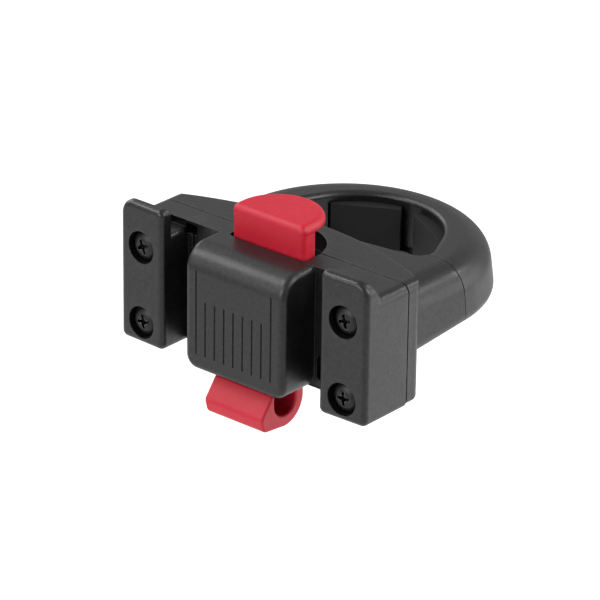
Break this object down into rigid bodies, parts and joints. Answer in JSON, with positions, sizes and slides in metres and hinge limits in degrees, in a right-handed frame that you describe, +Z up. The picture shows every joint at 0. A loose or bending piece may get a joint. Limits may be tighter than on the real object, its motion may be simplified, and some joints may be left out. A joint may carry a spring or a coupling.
{
  "type": "bicycle bag mount",
  "caption": "Quick-release bag mount for a bicycle tube: black housing with screwed rails, red button with sprung J-shaped hook, and split tube clamp with rubber pads.",
  "frame": {"origin": "on the axis of the clamped tube, half way up the rubber pads", "axes": "+Z up along the tube, -Y forward to the bag, +X to the right seen from the bag"},
  "size_m": [0.1, 0.1005, 0.0665],
  "materials": {
    "black_plastic": "fine moulded grain, satin",
    "pad_rubber": "matt",
    "red_plastic": "satin gloss",
    "spring_steel": "bright drawn wire",
    "black_screw": "black plated, satin",
    "plated_steel": "zinc plated"
  },
  "bodies": {
    "mount": {"front_housing": "black_plastic", "rear_shell": "black_plastic", "clamp_hoop": "black_plastic", "rear_pad_left": "pad_rubber", "rear_pad_right": "pad_rubber", "front_pad": "pad_rubber", "return_spring": "spring_steel", "rail_screws": "black_screw", "clamp_bolts": "plated_steel", "clamp_washers": "plated_steel", "clamp_nuts": "plated_steel"},
    "slider": {"release_slider": "red_plastic"}
  },
  "joints": [
    {"name": "release_slide", "type": "slide", "parent": "mount", "child": "slider", "axis": [0, 0, -1], "range_m": [0, 0.007], "stiffness_N_per_m": 800, "springref_m": -0.008, "deforming": ["return_spring"]}
  ]
}
